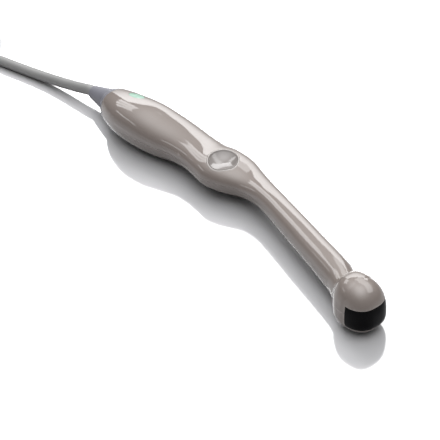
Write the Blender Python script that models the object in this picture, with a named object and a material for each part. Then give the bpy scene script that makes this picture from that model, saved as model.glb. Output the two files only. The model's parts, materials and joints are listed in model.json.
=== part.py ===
"""Hand-held dental camera: a bent, glossy two-part shell with a slender neck, its optics, boards and cable.

The camera lies on a table as it rests between uses. +X points from the cable to the nose, +Z is up, and the
origin is on the table under the middle of the handpiece. All values in the tables are millimetres.
"""

import math

import bmesh
import bpy
from mathutils import Euler, Matrix, Vector

MM = 0.001
GAP = 0.3  # air between neighbouring pieces
WALL = 1.5  # shell thickness
PARTING_Z = 8.7  # height of the joint between the two shells
RING = 24  # sides of the shell's sections

# The handle and the neck: x, y and z of the section's centre, half width, half height.
STATIONS = (
    (-82.6, 2.8, 8.8, 5.8, 6.3),
    (-80.4, 2.0, 9.1, 7.1, 7.4),
    (-75.0, 1.2, 10.2, 8.5, 8.2),
    (-63.0, 1.2, 10.4, 10.5, 9.4),
    (-50.8, 2.6, 9.8, 11.2, 9.9),
    (-38.6, 4.5, 8.8, 10.8, 8.9),
    (-28.4, 5.7, 8.8, 9.7, 7.5),
    (-18.4, 5.8, 8.9, 9.2, 6.6),
    (-10.4, 5.6, 8.9, 9.7, 6.3),
    (-2.3, 6.0, 8.7, 10.6, 6.9),
    (5.8, 7.2, 8.2, 9.6, 6.3),
    (13.9, 7.9, 8.1, 7.0, 5.2),
    (21.9, 7.2, 8.4, 5.5, 4.8),
    (31.7, 5.3, 8.7, 5.0, 4.9),
    (46.5, 2.1, 8.6, 5.1, 5.1),
    (61.3, -1.1, 8.4, 5.2, 5.2),
    (76.1, -4.3, 7.9, 5.4, 5.7),
    (90.0, -8.0, 7.2, 5.5, 5.9),
)
SECTION_POWER = 2.3

# The head is a rounded upright drum at the end of the neck.
HEAD_X, HEAD_Y, HEAD_Z = 92.6, -9.1, 6.0
HEAD_LONG, HEAD_WIDE = 8.7, 7.6
HEAD_UP, HEAD_DOWN = 11.6, 6.1
HEAD_POWER = 2.5
NECK_TURN = math.radians(-12.2)  # heading of the neck and of the camera
NECK_MID = (50.0, 1.35)
BOARD_TURN = math.radians(4.7)  # heading of the circuit board
BOARD_MID = (-27.0, 3.35)
BOARD_TOP = 8.2

# The nose window, in the head's own heading: where it starts, and its lowest and highest edge.
WINDOW_START, WINDOW_LOW, WINDOW_HIGH = 3.0, 3.6, 11.4
WINDOW_WALL = 1.3

BUTTON = (0.5, 4.9)
BUTTON_RADIUS = 5.7
BUTTON_TIP = 0.16  # how far the button's outline runs out towards the neck, as a share of its radius
BUTTON_FLANGE_LOW, BUTTON_FLANGE_TOP = 11.6, 12.2
DISH_RADIUS, DISH_FLOOR = 12.3, 13.2

STATUS = (-61.5, 4.2)
STATUS_TURN = math.radians(12)

CABLE_RADIUS = 2.6
BOOT_END = (-101.3, 3.1, 7.0)
BOOT_SEAT_END = -76.0
BOOT_WALL = 0.5
CLAMP_MID = (-75.0, 1.3)
CLAMP_SCREW_SIDE = 4.3
FERRULE_Z = 8.4

# The stored cable: four layers of two turns, tied round the middle, with the tail and the plug on top.
HANK_MID = (-293.2, 0.5)
HANK_LONG, HANK_WIDE, HANK_HIGH = 95.4, 46.4, 21.0
TIE_WIDE, TIE_THICK = 9.0, 1.2
TIE_INNER_WIDE = 40.0
TIE_INNER_HIGH = HANK_HIGH - 2 * TIE_THICK

# The visible cable: straight out of the boot, down onto the table, then along it to the hank.
CABLE_ROUTE = (
    (-101.8, 3.1, 7.0),
    (-105.0, 3.0, 6.9),
    (-110.0, 2.0, 6.3),
    (-118.0, 0.6, 5.3),
    (-130.0, -1.3, 4.0),
    (-142.0, -3.4, 3.1),
    (-154.0, -5.8, 2.7),
    (-168.0, -8.8, 2.6),
    (-180.0, -11.4, 2.6),
    (-194.0, -14.4, 2.6),
    (-210.0, -17.0, 2.6),
    (-226.0, -19.0, 2.6),
    (-238.0, -19.8, 2.6),
    (-248.5, -20.1, 2.6),
)

# Along one side on top of the turns, round the end, and into the plug.
TAIL_ROUTE = (
    (-266.0, -20.0, 23.9),
    (-280.0, -20.1, 23.9),
    (-294.0, -20.1, 23.9),
    (-306.0, -20.1, 23.9),
    (-315.5, -20.0, 23.9),
    (-323.2, -17.7, 23.9),
    (-328.9, -12.0, 23.9),
    (-331.0, -4.4, 23.9),
    (-328.9, 3.3, 23.9),
    (-323.2, 9.0, 24.1),
    (-315.5, 11.0, 24.7),
    (-309.0, 11.0, 25.3),
    (-303.4, 11.0, 25.4),
)
PLUG_Y, PLUG_Z = 11.0, 25.4
PLUG_START = -303.0


def clear_scene():
    for thing in list(bpy.data.objects):
        bpy.data.objects.remove(thing, do_unlink=True)


def material(name, color, roughness, metallic=0.0):
    made = bpy.data.materials.get(name) or bpy.data.materials.new(name)
    made.use_nodes = True
    shader = made.node_tree.nodes["Principled BSDF"]
    shader.inputs["Base Color"].default_value = (*color, 1.0)
    shader.inputs["Roughness"].default_value = roughness
    shader.inputs["Metallic"].default_value = metallic
    made.diffuse_color = (*color, 1.0)
    return made


def finish_object(name, bm, finish, smooth=True):
    """The bmesh, in millimetres, as a named object in metres."""
    bmesh.ops.recalc_face_normals(bm, faces=bm.faces)
    bmesh.ops.scale(bm, vec=(MM, MM, MM), verts=bm.verts)
    mesh = bpy.data.meshes.new(name)
    bm.to_mesh(mesh)
    bm.free()
    mesh.materials.append(finish)
    if smooth:
        mesh.shade_smooth()
        mesh.set_sharp_from_angle(angle=math.radians(35))
    thing = bpy.data.objects.new(name, mesh)
    bpy.context.scene.collection.objects.link(thing)
    return thing


def as_cutter(thing):
    thing.hide_render = True
    thing.display_type = "WIRE"
    return thing


def cut(thing, other, operation="DIFFERENCE"):
    """A Boolean on thing; the other object becomes a hidden helper."""
    step = thing.modifiers.new(operation.lower(), "BOOLEAN")
    step.operation = operation
    step.solver = "EXACT"
    step.object = as_cutter(other)
    return thing


def spot(middle, turn, along=0.0, across=0.0):
    """World x and y of a point given along and across a heading."""
    return (
        middle[0] + along * math.cos(turn) - across * math.sin(turn),
        middle[1] + along * math.sin(turn) + across * math.cos(turn),
    )


def place(thing, x, y, z, turn=0.0):
    thing.location = Vector((x, y, z)) * MM
    thing.rotation_euler = Euler((0.0, 0.0, turn))
    return thing


def block(name, size, finish, edge=0.0):
    """A box about its own centre, with its edges bevelled."""
    bm = bmesh.new()
    bmesh.ops.create_cube(bm, size=1.0)
    bmesh.ops.scale(bm, vec=size, verts=bm.verts)
    if edge:
        bmesh.ops.bevel(bm, geom=bm.edges[:], offset=edge, segments=1, affect="EDGES", profile=0.5)
    return finish_object(name, bm, finish, smooth=False)


def turned(name, outline, finish, sides=20, axis="Z"):
    """A solid turned about Z, or about X, from (radius, height) points that run up its outside."""
    bm = bmesh.new()
    points = [bm.verts.new((radius, 0.0, height)) for radius, height in outline]
    edges = [bm.edges.new(pair) for pair in zip(points, points[1:])]
    if outline[0][0] > 0 and outline[-1][0] > 0:
        edges.append(bm.edges.new((points[-1], points[0])))
    bmesh.ops.spin(
        bm, geom=points + edges, cent=(0, 0, 0), axis=(0, 0, 1),
        angle=math.tau, steps=sides, use_merge=True,
    )
    bmesh.ops.remove_doubles(bm, verts=bm.verts, dist=1e-4)
    if axis == "X":
        bmesh.ops.rotate(bm, cent=(0, 0, 0), matrix=Matrix.Rotation(math.pi / 2, 3, "Y"), verts=bm.verts)
    return finish_object(name, bm, finish)


def disc(name, radius, height, finish, sides=20, axis="Z"):
    """A plain solid cylinder that starts at its own origin."""
    return turned(name, ((0.0, 0.0), (radius, 0.0), (radius, height), (0.0, height)), finish, sides, axis)


def sleeve(name, outer, inner, height, finish, sides=20, axis="Z"):
    """A ring with a straight bore that starts at its own origin."""
    outline = ((inner, 0.0), (outer, 0.0), (outer, height), (inner, height))
    return turned(name, outline, finish, sides, axis)


def screw(name, head, shank, head_high, length, finish):
    """A cap screw that points down, with the underside of its head at its own origin."""
    outline = (
        (0.0, -length), (shank * 0.6, -length), (shank, -length + 0.4), (shank, 0.0),
        (head, 0.0), (head, head_high * 0.7), (head * 0.8, head_high), (0.0, head_high),
    )
    return turned(name, outline, finish, 16)


def curve_through(xs, ys):
    """A smooth curve through the points, as a function of x."""
    slopes = []
    for i in range(len(xs)):
        low, high = max(i - 1, 0), min(i + 1, len(xs) - 1)
        slopes.append((ys[high] - ys[low]) / (xs[high] - xs[low]))

    def value(x):
        i = max(k for k in range(len(xs) - 1) if k == 0 or xs[k] <= x)
        span = xs[i + 1] - xs[i]
        t = (x - xs[i]) / span
        return (
            ys[i] * (1 + 2 * t) * (1 - t) ** 2 + ys[i + 1] * t * t * (3 - 2 * t)
            + span * (slopes[i] * t * (1 - t) ** 2 - slopes[i + 1] * t * t * (1 - t))
        )

    return value


SPINE = [curve_through([s[0] for s in STATIONS], [s[k] for s in STATIONS]) for k in range(1, 5)]


def larger(a, b, power=6.0):
    """The larger of two sizes, with a soft change between them."""
    return (max(a, 0.0) ** power + max(b, 0.0) ** power) ** (1.0 / power)


def section(x, inset=0.0):
    """(y, z of the widest level, half width, height above it, depth below it, power) of the body at x."""
    long, wide = HEAD_LONG - inset, HEAD_WIDE - inset
    t = min(abs((x - HEAD_X) / long), 1.0)
    full = (1 - t**HEAD_POWER) ** (1 / HEAD_POWER)
    if x > HEAD_X:
        return HEAD_Y, HEAD_Z, wide * full, (HEAD_UP - inset) * full, (HEAD_DOWN - inset) * full, HEAD_POWER
    y, z, width, height = (at(x) for at in SPINE)
    width, height = width - inset, height - inset
    near = min(max((x - (HEAD_X - 1.6 * HEAD_LONG)) / (1.6 * HEAD_LONG), 0.0), 1.0)
    near = near * near * (3 - 2 * near)
    middle = z + (HEAD_Z - z) * near
    up = larger(z + height - middle, (HEAD_UP - inset) * full)
    down = larger(middle - z + height, (HEAD_DOWN - inset) * full)
    power = SECTION_POWER + (HEAD_POWER - SECTION_POWER) * near
    return y + (HEAD_Y - y) * near, middle, larger(width, wide * full), up, down, power


def section_point(x, angle, shape):
    y, z, width, up, down, power = shape
    c, s = math.cos(angle), math.sin(angle)
    across = math.copysign(abs(c) ** (2 / power), c)
    upward = math.copysign(abs(s) ** (2 / power), s)
    return Vector((x, y + width * across, z + (up if s > 0 else down) * upward))


def loft(name, rings, finish):
    """A closed solid through rings, each a function from an angle to a point."""
    bm = bmesh.new()
    ring = bmesh.ops.create_circle(bm, segments=RING, radius=1.0)["verts"]
    angle = {v: math.atan2(v.co.y, v.co.x) for v in ring}
    edges = [e for e in bm.edges]
    bmesh.ops.edgeloop_fill(bm, edges=edges)
    for v in ring:
        v.co = rings[0](angle[v])
    for at in rings[1:]:
        made = bmesh.ops.extrude_edge_only(bm, edges=edges)["geom"]
        fresh = {g for g in made if isinstance(g, bmesh.types.BMVert)}
        edges = [
            g for g in made
            if isinstance(g, bmesh.types.BMEdge) and g.verts[0] in fresh and g.verts[1] in fresh
        ]
        for v in fresh:
            before = next(e.other_vert(v) for e in v.link_edges if e.other_vert(v) not in fresh)
            angle[v] = angle[before]
        for v in fresh:
            v.co = at(angle[v])
    bmesh.ops.edgeloop_fill(bm, edges=edges)
    return finish_object(name, bm, finish)


def body_solid(name, inset, finish, start=None, stop_share=0.985):
    """The whole outside of the handpiece as one solid, moved inwards by inset."""
    start = STATIONS[0][0] if start is None else start
    places = [start] if start < STATIONS[0][0] else []
    places += [STATIONS[0][0], -81.6, -80.4, -78.5, -74.5, -69.5, -64.0, -57.5, -50.8, -44.5, -38.6]
    places += [-33.5, -28.4, -23.4, -18.4, -14.4, -10.4, -6.4, -2.3, 1.8, 5.8, 9.8, 13.9, 17.9, 23.0]
    places += [31.7, 46.5, 61.3, 74.0, 80.0, 83.2]
    long = HEAD_LONG - inset
    first = 84.4
    places += [first + (HEAD_X - first) * k / 4 for k in range(4)]
    places += [HEAD_X + long * math.sin(math.asin(stop_share) * k / 6) for k in range(7)]

    def ring(x):
        shape = section(max(x, STATIONS[0][0]), inset)
        return lambda angle: section_point(x, angle, shape)

    return loft(name, [ring(x) for x in places], finish)


def rear_outline(x, inset):
    shape = section(max(x, STATIONS[0][0]), inset)
    return lambda angle: section_point(x, angle, shape)


def rear_solid(name, inset, start, end, finish):
    """The rear of the handpiece between two places, as one solid moved inwards by inset."""
    places = [start, *[x for x in (-82.6, -81.6, -80.4, -78.5) if start < x], end]
    return loft(name, [rear_outline(x, inset) for x in places], finish)


def half_space(name, low, high, finish):
    """A large slab between two heights."""
    slab = block(name, (260.0, 90.0, high - low), finish)
    return place(slab, 10.0, 0.0, (low + high) / 2)


def window_region(name, grow, finish):
    """The block of space that the nose window fills, larger by grow on each side."""
    long = 14.0
    box = block(name, (long + grow, 40.0, WINDOW_HIGH - WINDOW_LOW + 2 * grow), finish)
    x, y = spot((HEAD_X, HEAD_Y), NECK_TURN, WINDOW_START - grow + (long + grow) / 2)
    return place(box, x, y, (WINDOW_HIGH + WINDOW_LOW) / 2, NECK_TURN)


def button_outline(angle, radius):
    """A round outline with a soft point towards the neck."""
    away = (angle + math.pi) % math.tau - math.pi
    return radius * (1 + BUTTON_TIP * math.exp(-((away / 0.45) ** 2)))


def button_prism(name, levels, finish):
    """A solid from (height, radius) levels that all have the button's outline."""

    def ring(height, radius):
        def point(angle):
            reach = button_outline(angle, radius)
            return Vector((reach * math.cos(angle), reach * math.sin(angle), height))

        return point

    prism = loft(name, [ring(*level) for level in levels], finish)
    return place(prism, *BUTTON, 0.0)


def dish_ball(name, finish):
    bm = bmesh.new()
    bmesh.ops.create_uvsphere(bm, u_segments=40, v_segments=40, radius=DISH_RADIUS)
    ball = finish_object(name, bm, finish)
    return place(ball, *BUTTON, DISH_FLOOR + DISH_RADIUS)


def oval_prism(name, long, wide, low, high, finish, sides=24):
    bm = bmesh.new()
    bmesh.ops.create_cone(
        bm, segments=sides, radius1=1.0, radius2=1.0, depth=1.0, cap_ends=True, cap_tris=False
    )
    bmesh.ops.scale(bm, vec=(long / 2, wide / 2, high - low), verts=bm.verts)
    return finish_object(name, bm, finish)


def tube(name, points, radius, finish):
    """A cord along a smooth curve that passes near its route's points."""
    curve = bpy.data.curves.new(name, "CURVE")
    curve.dimensions = "3D"
    curve.bevel_depth = radius * MM
    curve.bevel_resolution = 2
    curve.use_fill_caps = True
    curve.resolution_u = 1
    line = curve.splines.new("POLY")
    line.points.add(len(points) - 1)
    for target, point in zip(line.points, points):
        target.co = (*(Vector(point) * MM), 1.0)
    curve.materials.append(finish)
    thing = bpy.data.objects.new(name, curve)
    bpy.context.scene.collection.objects.link(thing)
    return thing


def through(route, step):
    """Points every step along a smooth curve through the route's points."""
    lengths = [0.0]
    for a, b in zip(route, route[1:]):
        lengths.append(lengths[-1] + math.dist(a, b))
    axes = [curve_through(lengths, [p[k] for p in route]) for k in range(3)]
    count = max(2, round(lengths[-1] / step))
    return [tuple(axis(lengths[-1] * i / count) for axis in axes) for i in range(count + 1)]


# ---------------------------------------------------------------- finishes


def finishes():
    return {
        "shell": material("pearl_grey_gloss", (0.43, 0.40, 0.375), 0.16),
        "button": material("button_grey", (0.47, 0.445, 0.43), 0.2),
        "bright": material("rim_gloss", (0.50, 0.475, 0.455), 0.1),
        "window": material("black_window", (0.006, 0.006, 0.007), 0.05),
        "seal": material("olive_seal", (0.16, 0.155, 0.13), 0.6),
        "status": material("status_green", (0.30, 0.52, 0.40), 0.3),
        "boot": material("boot_grey", (0.22, 0.22, 0.25), 0.5),
        "cable": material("cable_grey", (0.27, 0.27, 0.27), 0.45),
        "board": material("board_green", (0.02, 0.16, 0.07), 0.45),
        "chip": material("chip_black", (0.02, 0.02, 0.022), 0.5),
        "steel": material("steel", (0.62, 0.63, 0.65), 0.28, 1.0),
        "brass": material("brass", (0.72, 0.53, 0.25), 0.3, 1.0),
        "alloy": material("alloy", (0.68, 0.69, 0.71), 0.35, 1.0),
        "frame": material("frame_black", (0.035, 0.035, 0.04), 0.5),
        "glass": material("lens_glass", (0.35, 0.42, 0.5), 0.03),
        "flex": material("flex_amber", (0.62, 0.30, 0.06), 0.4),
        "white": material("led_white", (0.9, 0.88, 0.75), 0.3),
        "tie": material("tie_black", (0.03, 0.03, 0.03), 0.7),
    }


# ---------------------------------------------------------------- shells


def screw_sites():
    """x, y, lowest level of the lower post, and top of the upper post, for the two case screws."""
    return {"rear": (-68.6, -3.6, 3.1, 17.5), "front": (-5.4, 12.1, 4.3, 13.3)}


def shells(look):
    upper = body_solid("upper_shell", 0.0, look["shell"])
    lower = body_solid("lower_shell", 0.0, look["shell"])
    hollow = body_solid("shell_hollow", WALL, look["shell"], start=-95.0, stop_share=0.96)
    for shell in (upper, lower):
        cut(shell, hollow)
    for name, (x, y, low, high) in screw_sites().items():
        post = disc(f"upper_post_{name}", 1.9, high - PARTING_Z + 0.9, look["shell"], 18)
        cut(upper, place(post, x, y, PARTING_Z - 0.9), "UNION")
        hole = disc(f"upper_post_hole_{name}", 1.45, high - PARTING_Z - 0.5, look["shell"], 18)
        cut(upper, place(hole, x, y, PARTING_Z - 1.5))
        post = disc(f"lower_post_{name}", 2.1, PARTING_Z + 0.5 - low, look["shell"], 16)
        cut(lower, place(post, x, y, low), "UNION")
        seat = ((0.0, -10.0), (1.6, -10.0), (1.6, low + 1.4), (0.95, low + 1.4), (0.95, 20.0), (0.0, 20.0))
        cut(lower, place(turned(f"lower_seat_{name}", seat, look["shell"], 18), x, y, 0.0))
    for side in (-1, 1):
        x, y = CLAMP_MID[0], CLAMP_MID[1] + side * CLAMP_SCREW_SIDE
        post = disc(f"clamp_post_{side}", 1.4, 3.6, look["shell"], 18)
        cut(lower, place(post, x, y, 4.2), "UNION")
        hole = disc(f"clamp_post_hole_{side}", 0.9, 3.0, look["shell"], 16)
        cut(lower, place(hole, x, y, 5.6))
    cut(upper, half_space("below_joint", -20.0, PARTING_Z + GAP / 2, look["shell"]))
    cut(lower, half_space("above_joint", PARTING_Z - GAP / 2, 40.0, look["shell"]))
    cut(lower, half_space("below_table", -20.0, 0.0, look["shell"]))
    seat = place(block("boot_seat", (16.0, 40.0, 40.0), look["shell"]), BOOT_SEAT_END - 8.0, 0.0, 8.0)
    cut(seat, rear_solid("boot_spigot", BOOT_WALL + GAP, -95.0, -72.0, look["shell"]))
    for shell in (upper, lower):
        cut(shell, seat)
    opening = window_region("window_opening", GAP, look["shell"])
    for shell in (upper, lower):
        cut(shell, opening)
    well = button_prism("button_well", ((9.0, 6.9), (30.0, 6.9)), look["shell"])
    cut(upper, well)
    slot = oval_prism("status_opening", 9.6, 4.6, 12.0, 30.0, look["shell"])
    cut(upper, place(slot, *STATUS, 21.0, STATUS_TURN))


def nose_window(look):
    window = body_solid("nose_window", 0.0, look["window"])
    cut(window, body_solid("window_hollow", WINDOW_WALL, look["window"], stop_share=0.97))
    cut(window, window_region("window_block", 0.0, look["window"]), "INTERSECT")
    seal = body_solid("window_seal", WALL + GAP, look["seal"], stop_share=0.96)
    cut(seal, body_solid("seal_hollow", WALL + GAP + 0.4, look["seal"], stop_share=0.94))
    cut(seal, window_region("seal_block", 1.1, look["seal"]), "INTERSECT")
    cut(seal, window_region("seal_opening", -0.9, look["seal"]))


def status_light(look):
    window = oval_prism("status_window", 9.0, 4.0, 0.0, 2.0, look["status"])
    place(window, *STATUS, 19.1, STATUS_TURN)
    skin = body_solid("status_skin", 0.0, look["status"])
    cut(window, skin, "INTERSECT")


# ---------------------------------------------------------------- capture button


def capture_button(look):
    levels = (
        (BUTTON_FLANGE_LOW, 6.3), (BUTTON_FLANGE_TOP, 6.3), (BUTTON_FLANGE_TOP, BUTTON_RADIUS),
        (16.5, BUTTON_RADIUS),
    )
    button = button_prism("capture_button", levels, look["button"])
    cut(button, dish_ball("button_dish", look["button"]))
    bezel = button_prism("button_bezel", ((12.6, 6.6), (18.0, 6.6)), look["bright"])
    cut(bezel, button_prism("bezel_bore", ((10.0, 6.0), (20.0, 6.0)), look["bright"]))
    cut(bezel, body_solid("bezel_skin", 0.0, look["bright"]), "INTERSECT")
    cut(bezel, dish_ball("bezel_dish", look["bright"]))
    plunger = disc("switch_plunger", 1.2, 0.65, look["frame"], 16)
    place(plunger, *BUTTON, 10.65)
    switch = block("tact_switch", (4.0, 4.0, 1.4), look["steel"], 0.2)
    place(switch, *BUTTON, BOARD_TOP + GAP + 0.7, BOARD_TURN)
    turns, wire, radius, steps = 2.5, 0.3, 3.4, 14
    low, high = BOARD_TOP + GAP + wire, BUTTON_FLANGE_LOW - GAP - wire
    count = round(turns * steps)
    coil = []
    for i in range(count + 1):
        share = i / count
        angle = math.tau * turns * share
        coil.append((radius * math.cos(angle), radius * math.sin(angle), low + (high - low) * share))
    spring = tube("button_spring", coil, wire, look["steel"])
    spring.data.bevel_resolution = 1
    place(spring, *BUTTON, 0.0)


# ---------------------------------------------------------------- boards and frame


def on_board(name, size, along, across, finish, edge=0.15):
    """A part that stands on the circuit board."""
    part = block(name, size, finish, edge)
    x, y = spot(BOARD_MID, BOARD_TURN, along, across)
    return place(part, x, y, BOARD_TOP + GAP + size[2] / 2, BOARD_TURN)


def electronics(look):
    screws = {"rear": (-30.0, -3.2), "front": (20.0, -3.2)}
    board = block("main_board", (76.0, 9.2, 1.0), look["board"], 0.15)
    place(board, *BOARD_MID, BOARD_TOP - 0.5, BOARD_TURN)
    chassis = block("chassis", (70.0, 7.8, 1.0), look["alloy"], 0.15)
    place(chassis, *spot(BOARD_MID, BOARD_TURN, -1.0), BOARD_TOP - 1.8, BOARD_TURN)
    for side in (-1, 1):
        rib = block(f"chassis_rib_{side}", (58.0, 0.8, 1.4), look["alloy"])
        x, y = spot(BOARD_MID, BOARD_TURN, -5.0, side * 2.6)
        cut(chassis, place(rib, x, y, BOARD_TOP - 2.7, BOARD_TURN), "UNION")
    for name, (along, across) in screws.items():
        x, y = spot(BOARD_MID, BOARD_TURN, along, across)
        for owner in (board, chassis):
            hole = disc(f"{owner.name}_hole_{name}", 0.9, 8.0, look["board"], 16)
            cut(owner, place(hole, x, y, 2.0))
        fastener = screw(f"board_screw_{name}", 1.3, 0.6, 0.9, 2.4, look["steel"])
        place(fastener, x, y, BOARD_TOP + GAP)
    on_board("cable_socket", (4.4, 5.6, 3.0), -35.4, -1.2, look["white"])
    on_board("status_led", (1.8, 1.8, 0.8), -31.8, 3.0, look["white"])
    on_board("power_coil", (5.0, 5.0, 2.2), -22.0, 0.4, look["chip"], 0.5)
    on_board("memory_chip", (5.2, 4.2, 0.9), -13.5, 0.0, look["chip"])
    on_board("processor_chip", (7.0, 7.0, 1.1), -4.5, 0.0, look["chip"])
    on_board("crystal", (3.2, 2.0, 0.9), 3.2, 2.6, look["steel"])
    on_board("board_connector", (4.0, 5.0, 1.8), 35.2, 1.6, look["frame"])
    pipe = turned(
        "light_pipe", ((0.0, 0.0), (0.8, 0.0), (1.1, 3.0), (1.1, 8.2), (0.0, 8.2)), look["white"], 16
    )
    place(pipe, *spot(BOARD_MID, BOARD_TURN, -31.8, 3.0), BOARD_TOP + GAP + 0.8 + GAP)


def neck_parts(look):
    spine = block("neck_spine", (62.0, 4.4, 1.0), look["alloy"], 0.15)
    place(spine, *NECK_MID, 6.4, NECK_TURN)
    for side in (-1, 1):
        rib = block(f"spine_rib_{side}", (60.0, 0.6, 1.2), look["alloy"])
        cut(spine, place(rib, *spot(NECK_MID, NECK_TURN, 0.0, side * 1.7), 7.2, NECK_TURN), "UNION")
    ribbon = block("flex_ribbon", (71.0, 3.6, 0.3), look["flex"])
    place(ribbon, *spot(NECK_MID, NECK_TURN, -0.6), 8.9, NECK_TURN)


# ---------------------------------------------------------------- optics


def in_head(thing, along, z, across=0.0):
    return place(thing, *spot((HEAD_X, HEAD_Y), NECK_TURN, along, across), z, NECK_TURN)


def optics(look):
    axis_z = 7.9
    in_head(block("sensor_board", (0.8, 7.0, 7.0), look["board"], 0.1), -5.0, axis_z)
    in_head(block("sensor_chip", (0.8, 4.4, 4.0), look["chip"], 0.1), -3.9, axis_z)
    in_head(sleeve("lens_barrel", 2.9, 2.3, 6.4, look["frame"], 24, "X"), -3.1, axis_z)
    outline = ((0.0, -0.7), (1.0, -0.62), (1.9, -0.4), (1.9, 0.4), (1.0, 0.62), (0.0, 0.7))
    in_head(turned("rear_lens", outline, look["glass"], 20, "X"), -1.6, axis_z)
    in_head(turned("middle_lens", outline, look["glass"], 20, "X"), 0.6, axis_z)
    in_head(turned("front_lens", outline, look["glass"], 20, "X"), 2.7, axis_z)
    in_head(sleeve("lens_retainer", 2.9, 2.1, 0.6, look["steel"], 24, "X"), 3.7, axis_z)
    holder = block("camera_holder", (1.6, 9.4, 9.0), look["frame"], 0.8)
    in_head(holder, 0.4, axis_z)
    cut(holder, in_head(disc("holder_bore", 3.2, 6.0, look["frame"], 24, "X"), -2.6, axis_z))
    in_head(sleeve("led_board", 4.8, 3.3, 0.8, look["board"], 24, "X"), 2.0, axis_z)
    reach = 4.05
    for k in range(4):
        angle = math.pi / 4 + k * math.pi / 2
        led = block(f"led_{k + 1}", (0.7, 1.1, 1.1), look["white"], 0.1)
        in_head(led, 3.5, axis_z + reach * math.sin(angle), reach * math.cos(angle))


# ---------------------------------------------------------------- cable


def cable_entry(look):
    def oval(x, y, z, wide, high):
        return lambda angle: Vector((x, y + wide * math.cos(angle), z + high * math.sin(angle)))

    end_x, end_y, end_z = BOOT_END
    lip = STATIONS[0]
    rings = [oval(end_x, end_y, end_z, 2.9, 2.9), oval(end_x + 0.7, end_y, end_z, 3.3, 3.3)]
    rings += [
        oval(end_x + 0.7 + (lip[0] - 2.0 - end_x) * k / 4, end_y + (lip[1] - end_y) * k / 4,
             end_z + (lip[2] - end_z) * k / 4, 3.3 + 2.3 * k / 4, 3.3 + 2.8 * k / 4)
        for k in range(1, 5)
    ]
    rings += [rear_outline(x, 0.0) for x in (-82.6, -81.6, -80.4, -78.5, BOOT_SEAT_END - GAP)]
    boot = loft("strain_relief", rings, look["boot"])
    cut(boot, rear_solid("boot_socket", BOOT_WALL, STATIONS[0][0] - GAP, -70.0, look["boot"]))
    ferrule = sleeve("cable_ferrule", 2.8, 1.8, 9.4, look["steel"], 20, "X")
    place(ferrule, -80.8, CLAMP_MID[1], FERRULE_Z)
    core = disc("cable_core", 1.4, 14.0, look["cable"], 16, "X")
    place(core, -80.8, CLAMP_MID[1], FERRULE_Z)
    clamp = block("cable_clamp", (4.4, 11.4, 4.0), look["alloy"], 0.4)
    place(clamp, *CLAMP_MID, FERRULE_Z + 2.0)
    groove = disc("clamp_groove", 3.1, 12.0, look["alloy"], 24, "X")
    cut(clamp, place(groove, CLAMP_MID[0] - 6.0, CLAMP_MID[1], FERRULE_Z))
    for side, word in ((-1, "left"), (1, "right")):
        x, y = CLAMP_MID[0], CLAMP_MID[1] + side * CLAMP_SCREW_SIDE
        hole = disc(f"clamp_hole_{word}", 0.9, 12.0, look["alloy"], 16)
        cut(clamp, place(hole, x, y, 4.0))
        fastener = screw(f"clamp_screw_{word}", 1.3, 0.6, 0.9, 5.6, look["steel"])
        place(fastener, x, y, FERRULE_Z + 4.0 + GAP)


def case_screws(look):
    for name, (x, y, low, high) in screw_sites().items():
        insert = sleeve(f"case_insert_{name}", 1.15, 0.85, 2.0, look["brass"], 16)
        place(insert, x, y, PARTING_Z + 0.3)
        length = PARTING_Z + 2.3 - (low + 1.1)
        fastener = screw(f"case_screw_{name}", 1.3, 0.55, 0.9, length, look["steel"])
        place(fastener, x, y, low + 1.1)
        fastener.rotation_euler = Euler((math.pi, 0.0, 0.0))


def stored_cable(look):
    tube("cable_run", through(CABLE_ROUTE, 11.0), CABLE_RADIUS, look["cable"])
    hank = hank_solid("cable_hank", 0.0, HANK_HIGH, look["cable"])
    groove = block("tie_groove", (TIE_WIDE + 2 * GAP, HANK_WIDE + 20.0, HANK_HIGH + 20.0), look["tie"])
    core_size = (TIE_WIDE + 8, TIE_INNER_WIDE - 2 * GAP, TIE_INNER_HIGH - 2 * GAP)
    keep = block("tie_groove_core", core_size, look["tie"])
    middle = (*HANK_MID, HANK_HIGH / 2)
    place(keep, *middle)
    cut(hank, cut(place(groove, *middle), keep))
    tie = block("cable_tie", (TIE_WIDE, TIE_INNER_WIDE + 2 * TIE_THICK, HANK_HIGH), look["tie"], 0.5)
    bore = block("tie_bore", (TIE_WIDE + 8, TIE_INNER_WIDE, TIE_INNER_HIGH), look["tie"])
    cut(place(tie, *middle), place(bore, *middle))
    tube("cable_tail", through(TAIL_ROUTE, 8.0), CABLE_RADIUS, look["cable"])


def hank_solid(name, low, high, finish):
    """An upright prism with round ends."""
    half = HANK_WIDE / 2
    straight = (HANK_LONG - HANK_WIDE) / 2

    def ring(z):
        def point(angle):
            x = half * math.cos(angle) + math.copysign(straight, math.cos(angle))
            return Vector((x, half * math.sin(angle), z))

        return point

    bm = bmesh.new()
    ringed = bmesh.ops.create_circle(bm, segments=RING, radius=1.0, cap_ends=True)["verts"]
    turn = math.pi / RING
    for v in ringed:
        v.co = ring(low)(math.atan2(v.co.y, v.co.x) + turn)
    made = bmesh.ops.extrude_face_region(bm, geom=bm.faces[:])["geom"]
    lifted = [g for g in made if isinstance(g, bmesh.types.BMVert)]
    bmesh.ops.translate(bm, vec=(0, 0, high - low), verts=lifted)
    prism = finish_object(name, bm, finish, smooth=False)
    return place(prism, *HANK_MID, 0.0)


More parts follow.
